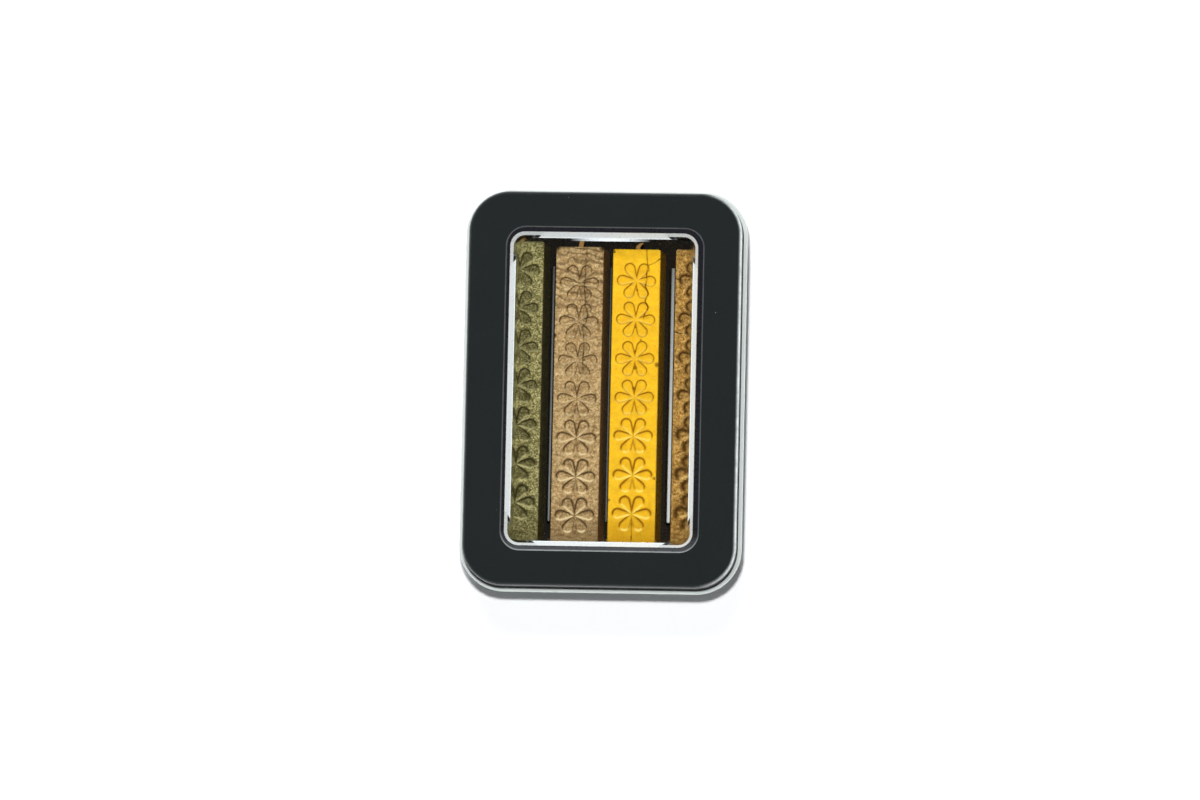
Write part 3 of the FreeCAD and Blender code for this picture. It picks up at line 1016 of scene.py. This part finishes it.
def wax_stick(number):
    """Cast stick: pressed flowers, round edges and leaning sides, with its own cracks and pits."""
    index = number - 1
    low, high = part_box("wax_stick_" + str(number))
    half_x = (high.x - low.x) / 2 - stick_draft
    half_y = (high.y - low.y) / 2 - stick_draft
    height = high.z - low.z
    x, y, inside = rounded_grid(half_x, half_y)
    row_y = y - flower_shifts[index]
    distance = row_distance(x, row_y, number)
    pressed = petal_press(distance)
    groove, lit = petal_marks(x, row_y, number, distance, pressed)
    crack, beside, dents = stick_wear(x, y, row_y, number)
    groove = np.maximum(groove, petal_stains[index] * pressed * beside)
    # painted shadow towards the lower end
    groove = np.maximum(groove, end_shadow * ease(half_y - end_shadow_run, half_y - end_shadow_stop, -y))
    waved = wave_least + (1 - wave_least) * ease(half_y - wave_fade[1], half_y - wave_fade[0], y)
    into_bend = np.clip(stick_edge_radius - inside, 0, stick_edge_radius)
    drop = stick_edge_radius - np.sqrt(stick_edge_radius ** 2 - into_bend ** 2)
    level = np.clip(inside / stick_edge_radius, 0, 1)
    swell = -swell_drop
    for depth, length, seed in swells:
        swell = swell + depth * smooth_noise(x, y, length, number + seed)
    z = height - drop - petal_depth * pressed - crack_depth * crack - dents
    z = np.minimum(z + level * swell, height)
    marks = {"groove": groove, "crack": crack, "waved": waved, "lit": lit}
    stick_mesh(number, (low + high) / 2, low.z, (x, y, z), marks)


def border(cell):
    """Indices round the edge of a grid, anticlockwise."""
    return np.concatenate((cell[0], cell[1:, -1], cell[-1, -2::-1], cell[-2:0:-1, 0])).tolist()


def outward(point, half_x, half_y):
    """Level direction in which a stick's side leans out below a point of its edge."""
    way_x = math.copysign(max(abs(point.x) - half_x + stick_corner, 0), point.x)
    way_y = math.copysign(max(abs(point.y) - half_y + stick_corner, 0), point.y)
    return Vector((way_x, way_y, 0)).normalized()


def side_point(point, way, share):
    """Point of a stick's leaning, slightly hollow side, a share of the way down from its edge."""
    z = point.z * (1 - share)
    rough = noise.noise(Vector((point.x, point.y, z)) / stick_wall_grain)
    lean = stick_draft * share - stick_wall_hollow * (1 + rough) * math.sin(math.pi * share)
    here = point + way * lean
    return here.x, here.y, z


def stick_mesh(number, middle, foot, top, marks):
    """Join a stick's top grid to its leaning sides and its flat foot."""
    x, y, z = top
    half_x, half_y = x.max(), y.max()
    vertices = list(zip(x.ravel(), y.ravel(), z.ravel()))
    top_count = len(vertices)
    cell = np.arange(top_count).reshape(x.shape)
    corners = (cell[:-1, :-1], cell[:-1, 1:], cell[1:, 1:], cell[1:, :-1])
    faces = np.stack([corner.ravel() for corner in corners], axis=1).tolist()
    above = border(cell)
    edge = [Vector(vertices[index]) for index in above]
    ways = [outward(point, half_x, half_y) for point in edge]
    for step in range(1, stick_wall_steps + 1):
        below = list(range(len(vertices), len(vertices) + len(edge)))
        vertices += [side_point(point, way, step / stick_wall_steps) for point, way in zip(edge, ways)]
        for index in range(len(edge)):
            after = (index + 1) % len(edge)
            faces.append((above[index], below[index], below[after], above[after]))
        above = below
    faces.append(tuple(above))
    vertices = [(px + middle.x, py + middle.y, pz + foot) for px, py, pz in vertices]
    name = "stick_" + str(number)
    piece = mesh_object(name + "_wax", vertices, faces, [0] * len(faces), [waxes[number - 1]], sharp=50.0)
    for kind, values in marks.items():
        # the sides get painted shade
        full = np.full(len(vertices), side_shade if kind == "groove" else 0.0)
        full[:top_count] = values.ravel()
        mark(piece, kind, full)
    node = "wax_" + name
    place(piece, name, frame_slot(node), node)


def frame_slot(node):
    """Material slot that the record gives a node."""
    return next(part["material_slot"] for part in frame["record"]["subparts"] if part["node"] == node)


# Wicks


def wick_ring(y, closing, middle, radius, across):
    """Round of a twisted cord at one place along it, drawn in where its end closes."""
    points = []
    for station in range(wick_ring_points):
        turn = 2 * math.pi * station / wick_ring_points
        twist = math.cos(wick_strands * turn + 2 * math.pi * y / wick_lay)
        reach = closing * radius * (1 - wick_swell_share * (1 - twist))
        points.append((across + reach * math.cos(turn), y, middle.z + reach * math.sin(turn)))
    return points


def wick(number):
    """Twisted cord whose stub leans a little as it leaves the stick."""
    node = "wick_" + str(number)
    body = "stick_" + str(number)
    low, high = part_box(node)
    stick_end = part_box("wax_" + body)[1].y
    middle = (low + high) / 2
    count = round((high.y - low.y) / wick_ring_gap)
    rings = []
    for row in range(count + 1):
        y = low.y + (high.y - low.y) * row / count
        bent = max(y - stick_end, 0) / (high.y - stick_end)
        past = max(bent - wick_taper_share, 0)
        closing = math.sqrt(max(1 - past ** 2 / wick_taper_fall, wick_taper_least))
        across = middle.x + wick_leans[number - 1] * bent ** 2
        rings.append(wick_ring(y, closing, middle, (high.x - low.x) / 2, across))
    piece = mesh_object(node + "_cord", *join_rings(rings), [cord])
    place(piece, body, "wick_cord", node)


# Stage, camera and lights


def stage_floor():
    """Plain white table; it reads white to the eye, to metal and to glass, and keeps the shadow."""
    recipe = Recipe("stage_white")
    recipe.set(Base_Color=(0.94, 0.95, 0.96, 1.0), Roughness=0.9, Specular_IOR_Level=0.0)
    path = recipe.add("LightPath")
    seen = recipe.math("MAXIMUM", path.outputs["Is Camera Ray"], path.outputs["Is Glossy Ray"])
    seen = recipe.math("MAXIMUM", seen, path.outputs["Is Transmission Ray"])
    away = recipe.add("VectorMath", operation="LENGTH")
    recipe.link(recipe.add("TexCoord").outputs["Object"], away.inputs[0])
    level = recipe.ramp(away.outputs["Value"], *floor_fade, floor_glow, 1.0)
    glow = recipe.add("Emission")
    glow.inputs["Color"].default_value = (0.82, 0.98, 1.0, 1.0)
    recipe.link(recipe.math("MULTIPLY", seen, level), glow.inputs["Strength"])
    total = recipe.add("AddShader")
    recipe.link(recipe.shader.outputs["BSDF"], total.inputs[0])
    recipe.link(glow.outputs["Emission"], total.inputs[1])
    recipe.link(total.outputs["Shader"], recipe.output.inputs["Surface"])
    corners = [(side_x * floor_half, side_y * floor_half, 0) for side_x, side_y in corner_sides]
    mesh_object("stage_floor", corners, [(0, 1, 2, 3)], [0], [recipe.material])


def stage_world():
    """White surroundings, bright low down and dimmer overhead."""
    world = bpy.data.worlds.new("stage_world")
    bpy.context.scene.world = world
    world.use_nodes = True
    nodes = world.node_tree.nodes
    link = world.node_tree.links.new
    split = nodes.new("ShaderNodeSeparateXYZ")
    link(nodes.new("ShaderNodeTexCoord").outputs["Generated"], split.inputs["Vector"])
    fall = nodes.new("ShaderNodeMapRange")
    fall.interpolation_type = "SMOOTHSTEP"
    for socket, value in zip(fall.inputs[1:5], (*sky_fall, sky_low, sky_high)):
        socket.default_value = value
    link(split.outputs["Z"], fall.inputs["Value"])
    choose = nodes.new("ShaderNodeMix")
    choose.inputs[3].default_value = 1.0
    link(nodes.new("ShaderNodeLightPath").outputs["Is Camera Ray"], choose.inputs[0])
    link(fall.outputs["Result"], choose.inputs[2])
    link(choose.outputs[0], nodes["Background"].inputs["Strength"])


def stage_lamp(name, place_at, size, watts):
    """Square lamp aimed at the tin, hidden from rays that would mirror it in lid and pane."""
    light = bpy.data.lights.new(name, "AREA")
    light.shape = "SQUARE"
    light.size = size
    light.energy = watts
    lamp = new_object(name, light)
    lamp.visible_glossy = False
    lamp.visible_transmission = False
    lamp.location = place_at
    lamp.rotation_euler = (-Vector(place_at)).to_track_quat("-Z", "Y").to_euler()


def stage_camera():
    """Camera that sees the tin as the photograph does, far off and nearly overhead."""
    lid_top = Vector((0, 0, cad_high.z))
    slopes = [math.tan(math.radians(view)) for view in (view_right, -view_below)]
    sight = Vector((*slopes, 1)).normalized()
    across = Vector((0, 1, 0)).cross(sight).normalized()
    upward = sight.cross(across)
    roll = math.radians(view_roll)
    right = across * math.cos(roll) + upward * math.sin(roll)
    up = upward * math.cos(roll) - across * math.sin(roll)
    aside = (lid_pixel[0] - image_size[0] / 2) / pixels_per_metre
    above = (image_size[1] / 2 - lid_pixel[1]) / pixels_per_metre
    place_at = lid_top - right * aside - up * above + sight * view_distance
    lens = bpy.data.cameras.new("camera")
    lens.sensor_fit = "HORIZONTAL"
    lens.sensor_width = sensor_width
    lens.lens = pixels_per_metre * view_distance * sensor_width / image_size[0]
    lens.clip_end = view_clip
    camera = new_object("camera", lens)
    turn = Matrix((right, up, sight)).transposed()
    camera.matrix_world = Matrix.Translation(place_at) @ turn.to_4x4()
    bpy.context.scene.camera = camera


tin_base()
tin_lid()
window_pane()
window_tape()
stick_tray()
for number in range(1, 5):
    wax_stick(number)
    wick(number)
stage_floor()
stage_world()
stage_camera()
for lamp_values in lamps:
    stage_lamp(*lamp_values)
bpy.context.scene.view_settings.view_transform = "Standard"
